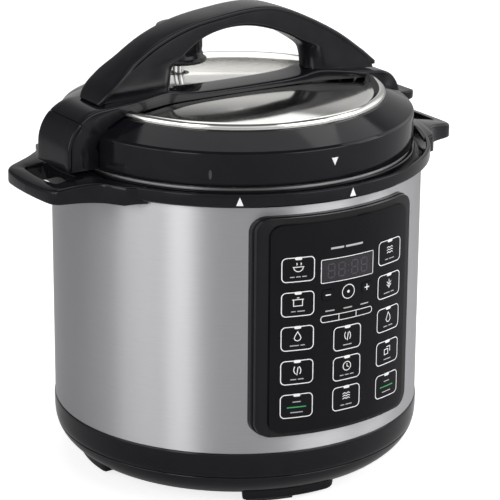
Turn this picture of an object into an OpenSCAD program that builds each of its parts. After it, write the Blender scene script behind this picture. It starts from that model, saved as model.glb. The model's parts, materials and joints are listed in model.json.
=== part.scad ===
// Electric pressure cooker, about six litres.
// Origin on the body axis at the plane the feet stand on; +Z up,
// the control panel faces -Y, the two loop handles lie on the X axis.

/* [Body] */
// Outer radius of the brushed steel sleeve
sleeve_r = 130; // [128:0.5:131]
// Wall of the steel sleeve
sleeve_t = 0.8; // [0.6:0.1:1]
// Height of the lower edge of the sleeve
sleeve_z0 = 45; // [40:1:46]
// Height of the upper edge of the sleeve
sleeve_z1 = 220.3; // [219:0.1:221]
// Outer radius of the collar ring
collar_r = 136; // [135:0.5:138]
// Height of the top of the collar ring
collar_top = 229.6; // [229:0.1:230]

/* [Side handles] */
// Radius reached by the tips of the loop handles
loop_tip = 167.5; // [164:0.5:172]
// Inner radius of the slot in each loop handle
slot_r0 = 142; // [140:0.5:146]
// Outer radius of the slot in each loop handle
slot_r1 = 158; // [154:0.5:160]
// Half angle of the slot
slot_half = 8.6; // [6:0.1:10]

/* [Inner pot] */
// Inner radius of the cooking pot
pot_r = 110; // [106:0.5:110.5]
// Wall of the cooking pot
pot_t = 1; // [0.8:0.1:1.4]
// Height of the underside of the pot
pot_z0 = 76.3; // [76.3:0.1:78]

/* [Lid] */
// Outer radius of the lid shell
lid_r = 123.8; // [123:0.1:124.5]
// Height of the lower edge of the lid shell
lid_z0 = 231.2; // [231:0.1:231.6]
// Height of the shoulder of the lid shell
lid_z1 = 254.1; // [253:0.1:256]
// Outer radius of the rolled rim of the steel disc
disc_r = 104; // [102:0.5:105]
// Number of bayonet lugs
lugs = 5; // [4:1:6]

/* [Grip] */
// Half width of the arched grip
grip_w = 13.5; // [12:0.5:16]
// Thickness of the upper grip shell
grip_skin = 3.2; // [2.5:0.1:4]

/* [Controls] */
// Width of the oblong keys
key_w = 22.6; // [21:0.1:26]
// Height of the keys in the side columns
key_h = 17.4; // [15:0.1:20]
// Pitch of the keys in the side columns
key_pitch = 24.05; // [22:0.05:24.5]
// Distance of the side columns from the middle
col_x = 37; // [34:0.5:38]
// Clearance round each key
key_gap = 0.3; // [0.2:0.05:0.5]
// Distance between a key post and its switch
key_rest = 0.6; // [0.55:0.05:0.8]

/* [Valve] */
// Position of the steam valve across the lid
valve_x = -10; // [-12:0.5:-4]
// Position of the steam valve behind the lid arm
valve_y = 62; // [56:0.5:68]
// Position of the float valve across the lid
float_x = -50; // [-56:0.5:-44]
// Position of the float valve behind the lid arm
float_y = 42; // [36:0.5:46]

/* [Hidden] */
$fn = 120;
e = 0.01;

sleeve_in = sleeve_r - sleeve_t;
plate_r1 = 139;
plate_r0 = 136.8;
board_y0 = -119.8;
board_y1 = -118.2;
switch_y = -124;
liner_r = 116;
foot_a = [-12.5, 77.5, 167.5, 257.5];
rows = [for (i = [0:4]) 177.9 - i * key_pitch];
mid_rows = [125, 103.4, 81.8];

// ---- helpers --------------------------------------------------------
function pol(r, a) = [r * cos(a), r * sin(a)];
function sm(t) = let (u = max(0, min(1, t))) u * u * (3 - 2 * u);

// Ring round Z from a list of [r, z] points
module spin(p) { rotate_extrude() polygon(p); }

// Ring sector between two angles measured from +X
module sector(r, a0, a1, z0, z1) {
  translate([0, 0, z0]) linear_extrude(z1 - z0)
    polygon(concat([[0, 0]], [for (i = [0:12]) pol(r, a0 + (a1 - a0) * i / 12)]));
}

// Hollow cylinder
module tube(ro, ri, z0, z1) {
  difference() {
    translate([0, 0, z0]) cylinder(r = ro, h = z1 - z0);
    translate([0, 0, z0 - 1]) cylinder(r = ri, h = z1 - z0 + 2);
  }
}

module rod(x, y, r, z0, z1) {
  translate([x, y, z0]) cylinder(r = r, h = z1 - z0, $fn = 48);
}

// Rounded rectangle about its centre
module rrect(w, h, r) {
  square([w - 2 * r, h], center = true);
  square([w, h - 2 * r], center = true);
  for (sx = [-1, 1], sy = [-1, 1])
    translate([sx * (w / 2 - r), sy * (h / 2 - r)]) circle(r = r, $fn = 32);
}

// Outline drawn in X and Z, carried along Y from y0 to y1
module along_y(y0, y1) {
  translate([0, y1, 0]) rotate([90, 0, 0]) linear_extrude(y1 - y0) children();
}

// ---- body -----------------------------------------------------------
module outer_sleeve() color([0.72, 0.72, 0.73]) difference() {
  tube(sleeve_r, sleeve_in, sleeve_z0, sleeve_z1);
  along_y(-140, -100) translate([0, 136]) rrect(94, 134, 8);
  along_y(100, 140) translate([0, 205]) rrect(14, 8, 3);
}

// Outer curve of the base bowl, radius at height z
function bowl_r(z) = 130.6 - 20 * pow(max(0, (40 - z) / 32), 3);
bowl_pts = [for (i = [0:14]) let (z = 11 + 31 * i / 14) [bowl_r(z), z]];
bowl_in = [for (i = [14:-1:0]) let (z = 13.5 + 28.5 * i / 14) [bowl_r(z - 1.5) - 2.6, z]];

module foot_boss(a) {
  rotate([0, 0, a]) difference() {
    intersection() {
      union() {
        tube(111, 90, 4.5, 16);
      }
      sector(130, -90 - 17.4, -90 + 17.2, 0, 40);
    }
    translate([0, 0, 3]) intersection() {
      tube(108.6, 92.4, 0, 3.5);
      sector(130, -90 - 16, -90 + 2, 0, 10);
    }
  }
}

module base_bowl() color([0.05, 0.05, 0.055]) difference() {
  union() {
    difference() {
      union() {
        spin(concat([[103, 11]], bowl_pts, [[130.6, 45], [128, 45], [128, 50],
          [129.1, 52], [126.6, 52]], bowl_in, [[103, 13.5]]));
        for (a = foot_a) foot_boss(a);
        along_y(112, 131.2) translate([0, 28]) rrect(50, 31, 4);
      }
      // straight rear pocket behind the inlet
      along_y(100, 128.2) translate([0, 28]) rrect(44, 25, 3);
      // parting groove round the bowl
      spin([[127.0, 26.6], [134, 26.6], [134, 27.2], [127.0, 27.2]]);
    }
    for (a = [45:90:315]) rotate([0, 0, a + 10]) {
      difference() {
        rod(96, 0, 5, 12.2, 30);
        rod(96, 0, 1.6, 10, 26);
      }
      rotate([0, 0, 0]) translate([98, -1.2, 13.4]) cube([14, 2.4, 12]);
    }
    tube(105, 91.5, 12, 13.5);
  }
  along_y(126, 140) translate([0, 28]) rrect(31.2, 24.2, 2);
  // heads of the cover screws pass from below
  for (a = [45:90:315]) rotate([0, 0, a + 10]) rod(96, 0, 1.6, 8, 26);
}

module bottom_cover() color([0.10, 0.10, 0.105]) difference() {
  union() {
    translate([0, 0, 10]) cylinder(r = 102.6, h = 1.9);
    tube(50, 47, 11.8, 15);
  }
  for (a = foot_a) rotate([0, 0, a]) translate([0, 0, 3])
    intersection() { tube(111.4, 89.6, 0, 12); sector(130, -90 - 17.8, -90 + 17.6, 0, 20); }
  for (a = [45:90:315]) rotate([0, 0, a + 10]) rod(96, 0, 2.1, 8, 14);
  for (i = [-6:6]) translate([i * 7 - 1.6, -26, 8]) cube([3.2, 52, 6]);
}

module base_screws() color([0.6, 0.6, 0.62])
  for (a = [45:90:315]) rotate([0, 0, a + 10]) difference() {
    union() { rod(96, 0, 3.4, 8.1, 9.95); rod(96, 0, 1.55, 9.9, 24); }
    translate([95.4, -2.2, 7.5]) cube([1.2, 4.4, 1.3]);
    translate([93.8, -0.6, 7.5]) cube([4.4, 1.2, 1.3]);
  }

module rubber_feet() color([0.03, 0.03, 0.03]) for (a = foot_a) rotate([0, 0, a])
  difference() {
    intersection() {
      union() { tube(108.4, 92.6, 1.5, 6.4); tube(107.4, 93.6, 0, 1.6); }
      sector(130, -90 - 15.8, -90 + 1.8, -1, 10);
    }
    for (k = [-11.5, -7, -2.5]) rotate([0, 0, k]) translate([-0.8, -104, -1]) cube([1.6, 7, 2]);
  }

// ---- collar with loop handles ---------------------------------------
loop_half = [for (i = [0:6]) pol(loop_tip, i * 10.4 / 6),
  pol(loop_tip - 1.2, 11.6), pol(loop_tip - 3.6, 12.5), pol(161, 13.1), pol(155, 14.3),
  pol(149, 16), pol(144, 18.4), pol(140, 21.6), pol(137, 25), pol(135.2, 29.4), pol(130, 31)];

module loop_plan() {
  polygon(concat([[130, 0]], loop_half));
  mirror([0, 1]) polygon(concat([[130, 0]], loop_half));
}

module loop_handle() difference() {
  intersection() {
    translate([0, 0, 205]) linear_extrude(40) loop_plan();
    along_y(-90, 90) polygon([[125, 217.6], [133, 216.2], [150, 215.8], [164, 215.4],
      [168.5, 216.6], [168.5, 224.2], [166.5, 225.4], [158, 226.6], [148, 228.3],
      [140, 229.3], [136, 229.6], [125, 229.6]]);
  }
  translate([0, 0, 200]) linear_extrude(50) difference() {
    intersection() {
      circle(r = slot_r1);
      polygon([[0, 0], pol(200, -slot_half), pol(200, slot_half)]);
    }
    circle(r = slot_r0);
  }
}

module collar_ring() color([0.05, 0.05, 0.055]) {
  difference() {
    union() {
      for (m = [0, 1]) mirror([m, 0, 0]) loop_handle();
      spin([[129.6, 220.32], [134.8, 220.32], [collar_r, 221.4], [collar_r, 228.8],
        [collar_r - 0.8, collar_top], [133, collar_top], [129.6, 226]]);
    }
    translate([0, 0, 200]) cylinder(r = sleeve_r + 0.08, h = 20.32);
    translate([0, 0, 222.8]) cylinder(r = 133.9, h = 20);
    translate([0, 0, 200]) cylinder(r = 128, h = 40);
  }
  difference() {
    spin([[126.6, 212], [sleeve_in - 0.1, 212], [sleeve_in - 0.1, 220.32], [130.4, 220.32],
      [130.4, 222.8], [125.2, 222.8], [125.2, 228.2], [124.6, 229], [117, 229],
      [117, 226.6], [122.6, 226.6], [122.6, 219.6], [126.6, 217]]);
    along_y(120, 131) translate([0, 215]) rrect(70, 12, 2);
  }
}

// ---- outer pot and heater -------------------------------------------
module lug_ring(ri, ro, z0, z1, a0, half) intersection() {
  tube(ro, ri, z0, z1);
  union() for (i = [0:lugs - 1]) rotate([0, 0, a0 + i * 360 / lugs])
    sector(150, -half, half, z0 - 1, z1 + 1);
}

module outer_pot() color([0.62, 0.62, 0.64]) difference() {
  union() {
    tube(liner_r, liner_r - 1, 58, 238.7);
    tube(122, liner_r - 0.5, 229.02, 230);
    tube(liner_r, 52, 57, 58.2);
    lug_ring(liner_r - 0.5, 117.9, 235.6, 238.7, -90, 15);
  }
  for (a = [30:120:270]) rotate([0, 0, a]) rod(70, 0, 2.1, 55, 60);
}

module pressure_leaf() color([0.7, 0.68, 0.62]) difference() {
  union() {
    tube(88, 60, 58.25, 59.4);
    for (a = [0:120:240]) rotate([0, 0, a]) translate([20, -9, 58.25]) cube([44, 18, 1.15]);
    tube(30, 14, 58.25, 59.4);
  }
  for (a = [30:120:270]) rotate([0, 0, a]) rod(70, 0, 2.1, 55, 62);
}

module heating_plate() color([0.70, 0.70, 0.72]) difference() {
  union() {
    spin([[15, 66], [90, 66], [92, 68], [92, 72], [90, 74.4], [60, 76], [15, 76]]);
    for (a = [0:120:240]) rotate([0, 0, a]) rod(44, 0, 5, 59.42, 66.5);
    tube(20, 15, 60.5, 67);
    tube(20, 4.5, 59.6, 61);
  }
  rotate_extrude() translate([74, 66]) circle(r = 4.25, $fn = 32);
}

module heating_element() color([0.45, 0.45, 0.47]) {
  difference() {
    rotate_extrude() translate([74, 66]) circle(r = 4.2, $fn = 32);
    translate([-7, 60, 55]) cube([14, 30, 20]);
  }
  for (s = [-1, 1]) rod(s * 10.5, 73.2, 3, 60.2, 63.2);
}

module temperature_sensor() color([0.75, 0.75, 0.77]) difference() {
  union() {
    spin([[0, 73.5], [13.4, 73.5], [14.4, 74.5], [14.4, 75], [13.4, 76], [0, 76]]);
    tube(13, 11.6, 68, 74);
    rod(0, 0, 4, 66, 74);
  }
  rod(0, 0, 1.2, 60, 72);
}

module sensor_spring() color([0.6, 0.6, 0.62]) {
  n = 6; steps = 12; r = 7.4; w = 0.6; z0 = 61.7; z1 = 72.8;
  k = n * steps;
  polyhedron(
    points = [for (i = [0:k]) let (a = i * 360 / steps, z = z0 + (z1 - z0) * i / k)
      for (j = [0:5]) let (b = j * 60, q = r + w * cos(b)) [q * cos(a), q * sin(a), z + w * sin(b)]],
    faces = concat([[0, 1, 2, 3, 4, 5]], [[for (j = [5:-1:0]) k * 6 + j]],
      [for (i = [0:k - 1], j = [0:5]) [i * 6 + j, (i + 1) * 6 + j, (i + 1) * 6 + (j + 1) % 6, i * 6 + (j + 1) % 6]]));
}

module pressure_switch() color([0.86, 0.84, 0.78]) {
  translate([-9, 24, 46]) cube([18, 12, 10.8]);
  for (s = [-1, 1]) translate([s * 5 - 1.5, 26, 39]) cube([3, 0.8, 7.1]);
  rod(0, 30, 2, 56.7, 58.2);
}

module thermal_fuse() color([0.85, 0.85, 0.82]) {
  translate([40, 60, 49]) cube([22, 8, 7.9]);
  for (s = [0, 1]) translate([36.8 + s * 25, 63.4, 51]) cube([3.4, 1.2, 1.2]);
}

module power_board() color([0.30, 0.42, 0.25]) {
  translate([-62, -58, 24]) cube([92, 78, 1.6]);
  translate([-56, -52, 25.59]) cube([22, 19, 17]);
  translate([-28, -50, 25.59]) cube([19, 15.5, 15]);
  rod(2, -42, 6, 25.59, 43);
  rod(18, -44, 4, 25.59, 38);
  translate([-54, -22, 25.59]) cube([18, 12, 8]);
  translate([8, -20, 25.59]) cube([14, 26, 14]);
  translate([-20, 4, 25.59]) cube([22, 8, 9]);
  for (p = [[-58, -54], [26, -54], [-58, 16], [26, 16]])
    rod(p[0], p[1], 3, 11.95, 24.01);
}

// ---- front panel ----------------------------------------------------
module panel_bezel() color([0.05, 0.05, 0.055]) difference() {
  union() {
    intersection() {
      tube(136.8, sleeve_r + 0.03, 50, 230);
      along_y(-160, -60) translate([0, 136.05]) rrect(124, 153.5, 10);
    }
    intersection() {
      tube(133.5, sleeve_r + 0.03, 50, 230);
      along_y(-160, -60) translate([0, 136.1]) rrect(126, 154.4, 11);
    }
  }
  along_y(-160, -60) translate([0, 136]) rrect(103, 134, 6);
}

module key_outline(w, h, g) { rrect(w + 2 * g, h + 2 * g, 3.2 + g); }

// One key: kind 0 oblong, 1 round, 2 small
module at_key(x, z) { translate([x, 0, z]) children(); }

module key_shape(x, z, kind, g) translate([x, z]) {
  if (kind == 0) rrect(key_w + 2 * g, key_h + 2 * g, 3.2 + g);
  if (kind == 1) circle(r = 5.2 + g, $fn = 48);
  if (kind == 2) rrect(9 + 2 * g, 7.4 + 2 * g, 2 + g);
}

module all_key_shapes(g) {
  for (z = rows) { key_shape(-col_x, z, 0, g); key_shape(col_x, z, 0, g); }
  for (z = mid_rows) key_shape(0, z, 0, g);
  key_shape(-15.7, 157.6, 2, g);
  key_shape(0, 157.6, 1, g);
  key_shape(15.7, 157.6, 2, g);
}

module face_plate() color([0.035, 0.035, 0.04]) difference() {
  intersection() {
    tube(plate_r1, plate_r0, 55, 215);
    along_y(-160, -60) translate([0, 135.6]) rrect(109.4, 146, 8);
  }
  along_y(-160, -60) all_key_shapes(key_gap);
  along_y(-160, -60) translate([0, 174]) rrect(41.2, 15.2, 1.2);
}

module display_window() color([0.12, 0.11, 0.13]) intersection() {
  tube(plate_r1 - 0.25, plate_r0 + 0.1, 160, 190);
  along_y(-160, -60) translate([0, 174]) rrect(41, 15, 1.1);
}

module display_module() color([0.85, 0.85, 0.85]) {
  translate([-19, -132.5, 167]) cube([38, 12.7, 14]);
  for (i = [0:3]) translate([-16.5 + i * 8.6, -133, 168.5]) cube([7, 1, 11]);
}

module control_board() color([0.18, 0.36, 0.20]) difference() {
  translate([-45, board_y0, 68]) cube([90, board_y1 - board_y0, 136]);
  for (x = [-41.5, 41.5], z = [71.5, 200.5]) along_y(-130, -110) translate([x, z]) circle(r = 1.7, $fn = 32);
}

module switch_at(x, z) {
  translate([x - 3, switch_y + 0.8, z - 3]) cube([6, board_y0 - switch_y - 0.8, 6]);
  along_y(switch_y, switch_y + 0.9) translate([x, z]) circle(r = 1.7, $fn = 32);
}

module tact_switches() color([0.25, 0.25, 0.26]) {
  for (z = rows) { switch_at(-col_x, z); switch_at(col_x, z); }
  for (z = mid_rows) switch_at(0, z);
  for (x = [-15.7, 0, 15.7]) switch_at(x, 157.6);
}

module key_solid(x, z, kind) color([0.035, 0.035, 0.04]) {
  intersection() {
    tube(plate_r1 + 0.35, plate_r0 - 1.2, 55, 215);
    along_y(-160, -60) key_shape(x, z, kind, 0);
  }
  intersection() {
    along_y(-160, switch_y - key_rest) translate([x, z]) circle(r = 2.2, $fn = 32);
    translate([0, 0, 50]) cylinder(r = plate_r0 - 1, h = 170);
  }
}

module key_left_1() key_solid(-col_x, rows[0], 0);
module key_left_2() key_solid(-col_x, rows[1], 0);
module key_left_3() key_solid(-col_x, rows[2], 0);
module key_left_4() key_solid(-col_x, rows[3], 0);
module key_left_5() key_solid(-col_x, rows[4], 0);
module key_mid_1() key_solid(0, mid_rows[0], 0);
module key_mid_2() key_solid(0, mid_rows[1], 0);
module key_mid_3() key_solid(0, mid_rows[2], 0);
module key_right_1() key_solid(col_x, rows[0], 0);
module key_right_2() key_solid(col_x, rows[1], 0);
module key_right_3() key_solid(col_x, rows[2], 0);
module key_right_4() key_solid(col_x, rows[3], 0);
module key_right_5() key_solid(col_x, rows[4], 0);
module key_minus() key_solid(-15.7, 157.6, 2);
module key_select() key_solid(0, 157.6, 1);
module key_plus() key_solid(15.7, 157.6, 2);

// ---- rear: inlet and condensation cup --------------------------------
module mains_inlet() color([0.06, 0.06, 0.06]) difference() {
  union() {
    along_y(108, 131.1) translate([0, 28]) rrect(31, 24, 2);
    along_y(131.2, 132.8) translate([0, 28]) rrect(46, 27, 3);
    along_y(131, 131.3) translate([0, 28]) rrect(31, 24, 2);
  }
  along_y(114, 140) translate([0, 28]) polygon([[-12, 8.3], [12, 8.3], [12, -4],
    [8, -8.3], [-8, -8.3], [-12, -4]]);
  for (x = [-19, 19]) along_y(120, 140) translate([x, 28]) circle(r = 1.8, $fn = 32);
  for (p = [[-7, -1.5], [0, 2.5], [7, -1.5]]) along_y(100, 116) translate([p[0], 28 + p[1]]) square([2.04, 4.04], center = true);
}

module inlet_pins() color([0.8, 0.8, 0.8])
  for (p = [[-7, -1.5], [0, 2.5], [7, -1.5]])
    along_y(101, 128) translate([p[0], 28 + p[1]]) square([2, 4], center = true);

module cup_bracket() color([0.05, 0.05, 0.055]) {
  difference() {
    union() {
      intersection() {
        tube(134.2, sleeve_r + 0.03, 150, 214);
        along_y(60, 160) translate([0, 182]) rrect(68, 60, 5);
      }
      for (m = [0, 1]) mirror([m, 0, 0]) {
        translate([31.5, 127.5, 156]) cube([2.5, 15.5, 52]);
        translate([29, 140.6, 156]) cube([3, 2.4, 52]);
      }
    }
    translate([0, 0, 140]) cylinder(r = sleeve_r + 0.03, h = 90);
    along_y(120, 140) translate([0, 205]) rrect(14, 8, 3);
  }
}

module condensation_cup() color([0.75, 0.80, 0.84, 0.5]) difference() {
  union() {
    translate([0, 0, 152]) linear_extrude(50) translate([0, 149.2]) rrect(56, 27, 7);
    translate([-31, 137.4, 160]) cube([62, 2.8, 40]);
    translate([-28, 135.7, 197]) cube([56, 9, 5]);
  }
  translate([0, 0, 154.2]) linear_extrude(60) translate([0, 149.2]) rrect(52, 23, 5);
}

// ---- inner pot ------------------------------------------------------
module inner_pot() color([0.78, 0.78, 0.79]) spin([[0, pot_z0], [pot_r - 14, pot_z0],
  [pot_r - 6, pot_z0 + 1.6], [pot_r - 1, pot_z0 + 6.6], [pot_r + pot_t, pot_z0 + 15],
  [pot_r + pot_t, 239.3], [115, 239.3], [115.4, 239.9], [115, 240.8], [pot_r + 0.6, 240.8],
  [pot_r, 240], [pot_r, pot_z0 + 15.4], [pot_r - 2, pot_z0 + 8.2], [pot_r - 6.8, pot_z0 + 4],
  [pot_r - 14.4, pot_z0 + 2.5], [0, pot_z0 + 2.5]]);

module sealing_ring() color([0.92, 0.92, 0.90]) spin([[106.6, 241.2], [115.2, 241.2],
  [115.8, 242], [115.8, 249], [115.2, 249.6], [109, 249.6], [109, 247.6], [113, 246.6],
  [113, 243.4], [106.6, 242.4]]);

// ---- lid ------------------------------------------------------------
module pressure_lid() color([0.80, 0.80, 0.81]) difference() {
  union() {
    spin([[0, 250], [116, 250], [119.9, 246.4], [119.9, 231.7], [121.2, 231.7], [121.2, 247],
      [116.6, 251.4], [0, 251.4]]);
    lug_ring(118.3, 120.4, 231.7, 234.3, -90, 15);
  }
  rod(valve_x, valve_y, 4.06, 240, 260);
  rod(float_x, float_y, 3.4, 240, 260);
  for (a = [30:60:330]) rotate([0, 0, a]) rod(97, 0, 2, 240, 260);
}

module lid_shell() color([0.05, 0.05, 0.055]) {
  difference() {
    union() {
      spin([[121.9, lid_z0], [lid_r, lid_z0], [lid_r, lid_z1 - 0.8], [lid_r - 0.7, lid_z1],
        [disc_r + 1.2, 263.7], [disc_r + 0.4, 264], [90, 264], [90, 262], [disc_r - 0.4, 262],
        [121.9, lid_z1 - 1.6]]);
      for (a = [30:60:330]) rotate([0, 0, a]) rod(97, 0, 4, 251.45, 262.5);
    }
    for (a = [30:60:330]) rotate([0, 0, a]) rod(97, 0, 1.65, 250, 261);
    for (x = [-97, 97], y = [-8, 8]) rod(x, y, 2, 255, 270);
  }
}

module lid_disc() color([0.85, 0.83, 0.80]) difference() {
  union() {
    translate([0, 0, 264.02]) cylinder(r = disc_r - 2, h = 0.8);
    rotate_extrude() translate([disc_r - 2, 266.02]) circle(r = 2, $fn = 40);
  }
  rod(valve_x, valve_y, 7, 260, 270);
  rod(float_x, float_y, 5, 260, 270);
  for (x = [-97, 97], y = [-8, 8]) rod(x, y, 2, 260, 270);
  for (m = [0, 1]) mirror([m, 0, 0]) translate([92, -21.6, 260]) cube([20, 43.2, 12]);
}

// Half width of the lid arm at distance x from the middle
function arm_w(x) = 12.5 + 9 * sm((abs(x) - 52) / 46);
arm_plan = [for (i = [0:40]) let (x = -150 + i * 7.5) [x, arm_w(x)],
  for (i = [40:-1:0]) let (x = -150 + i * 7.5) [x, -arm_w(x)]];

// Rounded left end of the arm, r out from its centre line
function nose_pts(r) = concat([[-118, 232], [-118 - r, 232]],
  [for (t = [180:-6:90]) [-118 + r * cos(t), 244 + r * sin(t)]]);

module arm_2d() difference() {
  polygon(concat(nose_pts(28),
    [[-104, 273], [-84, 274.4], [-66, 275], [-58, 274.6], [-50, 272.4], [-38, 271.2],
      [0, 270.8], [38, 271.2], [50, 272.4], [58, 274.4], [66, 274.6], [84, 272.6], [100, 270.4]],
    [for (t = [90:-6:8]) [106 + 22 * cos(t), 247.6 + 22 * sin(t)]],
    [[129, 250], [142.5, 250], [142.5, 243.6], [100, 243.6], [100, 250], [-100, 250], [-100, 232]]));
  // nose cap seat
  difference() {
    translate([-150, 228]) square([32.2, 35]);
    polygon(concat(nose_pts(25.5), [[-117, 280], [-117, 228]]));
  }
}

// Space taken by the shell and the disc under the arm
module lid_envelope(g) spin([[0, 225], [lid_r + g, 225], [lid_r + g, lid_z1 - 0.8 + g],
  [lid_r - 0.7 + g, lid_z1 + g], [disc_r + 1.2 + g, 263.72 + g], [disc_r + 0.4, 264 + g], [95, 264 + g],
  [95, 266.4], [0, 266.4]]);

module lid_arm() color([0.05, 0.05, 0.055]) difference() {
  intersection() {
    along_y(-30, 30) arm_2d();
    translate([0, 0, 225]) linear_extrude(60) polygon(arm_plan);
  }
  lid_envelope(0.03);
  for (x = [-97, 97], y = [-8, 8]) rod(x, y, 1.65, 255, 270.2);
  for (x = [-82, 82], y = [-6, 6]) { rod(x, y, 1.65, 260, 290); rod(x, y, 3.6, 260, 268.6); }
}

module nose_cap() color([0.05, 0.05, 0.055]) intersection() {
  along_y(-21.5, 21.5) difference() {
    intersection() {
      polygon(nose_pts(28));
      translate([-150, 228]) square([32.1, 34.9]);
    }
    polygon(concat(nose_pts(25.52), [[-117, 280], [-117, 228]]));
  }
  translate([0, 0, 225]) linear_extrude(60) polygon(arm_plan);
}

// Crown line of the grip from its left end to its right end
crown = [[-118.2, 273.4], [-115.2, 277.6], [-110.2, 283.2], [-101, 290.9], [-91.5, 298], [-82, 304.3],
  [-72.5, 309.8], [-63, 314], [-53, 317.5], [-43, 320.3], [-32, 322.3], [-20, 323.8], [-8, 325.2],
  [3, 325.9], [13, 325.8], [24, 324.3], [36, 320.5], [50, 314.5], [65, 306.9], [80, 298.2],
  [95, 287.1], [104, 279.8], [110, 275]];
function nrm(a, b) = let (d = b - a, l = norm(d)) [d[1] / l, -d[0] / l];
crown_in = [for (i = [0:len(crown) - 1]) crown[i] + grip_skin * nrm(crown[max(0, i - 1)],
  crown[min(len(crown) - 1, i + 1)])];

module grip_upper() color([0.055, 0.055, 0.06]) difference() {
  along_y(-grip_w, grip_w) polygon(concat(crown,
    [[110.8, 271.6], [107, 271.6]], [for (i = [len(crown) - 3:-1:1]) crown_in[i]],
    [[-112.2, 272.5], [-117.2, 272.2]]));
  translate([-93.8, 0, 298]) rotate([0, 37, 0]) translate([0, 0, -1.8]) linear_extrude(8)
    polygon([[-5, -4.2], [-5, 4.2], [4.5, 0]]);
}

under = [[-56.5, 291.5], [-50, 298.5], [-42, 304.6], [-32, 309.4], [-20, 312.4], [-8, 313.2],
  [4, 312.4], [16, 309.6], [29, 304.4], [41, 298], [50, 291.5]];
module grip_lower() color([0.045, 0.045, 0.05]) difference() {
  along_y(-grip_w + 0.4, grip_w - 0.4) polygon(concat(
    [[-110.1, 272.75], [-104, 273.1], [-90, 274.1], [-84, 274.5], [-71.5, 275.1]],
    [[-58.5, 274.9], [-58, 285]], under, [[52, 285], [52.4, 273.4], [58, 274.7], [66, 274.7], [84, 272.8],
    [100, 270.6], [106.9, 269.9]], [for (i = [len(crown) - 3:-1:1]) crown_in[i] - 0.03 * [0, 1]]));
  // rounded inner faces of both legs
  for (s = [-1, 1]) translate([-3.25 + s * 55.5, 0, 270]) linear_extrude(21.5) difference() {
    translate([-s * 2 - 20, -20]) square([40, 40]);
    translate([s * 30, 0]) rotate([0, 0, 0]) union() {
      translate([-40 + (s > 0 ? 20 : 20), -20]) square([40, 40]);
      circle(r = 1, $fn = 16);
    }
    translate([s * 14, 0]) circle(r = 14, $fn = 64);
  }
  difference() {
    translate([-120, -20, 272]) cube([240, 40, 3]);
    along_y(-25, 25) polygon([[-120, 290], [-118.02, 272.05], [-104, 273.05], [-84, 274.45], [-66, 275.05], [-58, 274.65],
      [-50, 272.4], [50, 272.4], [58, 274.45], [66, 274.65], [84, 272.65], [100, 270.45], [120, 267], [130, 290]]);
  }
  for (x = [-82, 82], y = [-6, 6]) rod(x, y, 1.65, 265, 285);
}

module ring_rack() color([0.75, 0.75, 0.76]) {
  rotate_extrude() translate([104.6, 244.2]) circle(r = 1.2, $fn = 32);
  for (a = [0:60:300]) rotate([0, 0, a]) rod(104.6, 0, 0.8, 244.2, 249.98);
}

module exhaust_pipe() color([0.75, 0.75, 0.76]) difference() {
  union() {
    rod(valve_x, valve_y, 4, 246, 290);
    rod(valve_x, valve_y, 8, 247.6, 249.98);
    rod(valve_x, valve_y, 6.2, 251.42, 254.6);
  }
  rod(valve_x, valve_y, 1.6, 240, 294);
}

module anti_block_shield() color([0.72, 0.72, 0.73]) difference() {
  union() {
    rod(valve_x, valve_y, 13, 238.6, 247.5);
  }
  rod(valve_x, valve_y, 12.2, 239.6, 246.7);
  rod(valve_x, valve_y, 4.04, 246, 248);
  for (a = [0:30:150]) translate([valve_x, valve_y, 241.2]) rotate([0, 0, a]) translate([-20, -1.1, 0]) cube([40, 2.2, 4]);
}

module valve_knob() color([0.04, 0.04, 0.045]) translate([valve_x, valve_y, 4]) difference() {
  union() {
    spin([[0, 269.6], [20.5, 269.6], [20.5, 271.4], [17.6, 274.4], [17, 278], [17, 298], [15.4, 300.4], [0, 301]]);
    translate([-4, -19.5, 279]) cube([8, 8, 17]);
  }
  translate([0, 0, 266]) cylinder(r = 4.1, h = 20.4, $fn = 64);
  translate([0, 0, 266]) cylinder(r = 11, h = 9, $fn = 64);
}

module float_valve() color([0.78, 0.20, 0.16]) translate([float_x, float_y, 0]) {
  translate([0, 0, 244.2]) cylinder(r = 3.1, h = 18.6, $fn = 48);
  translate([0, 0, 242.4]) cylinder(r = 5.6, h = 1.85, $fn = 48);
}

module float_seal() color([0.9, 0.9, 0.88]) translate([float_x, float_y, 0]) difference() {
  translate([0, 0, 244.27]) cylinder(r = 5, h = 1, $fn = 48);
  translate([0, 0, 240]) cylinder(r = 3.12, h = 10, $fn = 48);
}

module lid_screws() color([0.7, 0.7, 0.72])
  for (a = [30:60:330]) rotate([0, 0, a]) difference() {
    union() { rod(97, 0, 3.4, 247.8, 249.98); rod(97, 0, 1.6, 249.9, 259.5); }
    translate([96.4, -2.2, 247]) cube([1.2, 4.4, 1.4]);
    translate([94.8, -0.6, 247]) cube([4.4, 1.2, 1.4]);
  }

module arm_screws() color([0.7, 0.7, 0.72]) for (x = [-97, 97], y = [-8, 8]) difference() {
  union() { rod(x, y, 3.4, 259.8, 261.98); rod(x, y, 1.6, 261.9, 269.8); }
  translate([x - 0.6, y - 2.2, 259]) cube([1.2, 4.4, 1.4]);
}

module grip_screws() color([0.7, 0.7, 0.72]) for (x = [-82, 82], y = [-6, 6]) difference() {
  union() { rod(x, y, 3.4, 266.6, 268.58); rod(x, y, 1.6, 268.5, 284); }
  translate([x - 0.6, y - 2.2, 266]) cube([1.2, 4.4, 1.4]);
}

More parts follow.
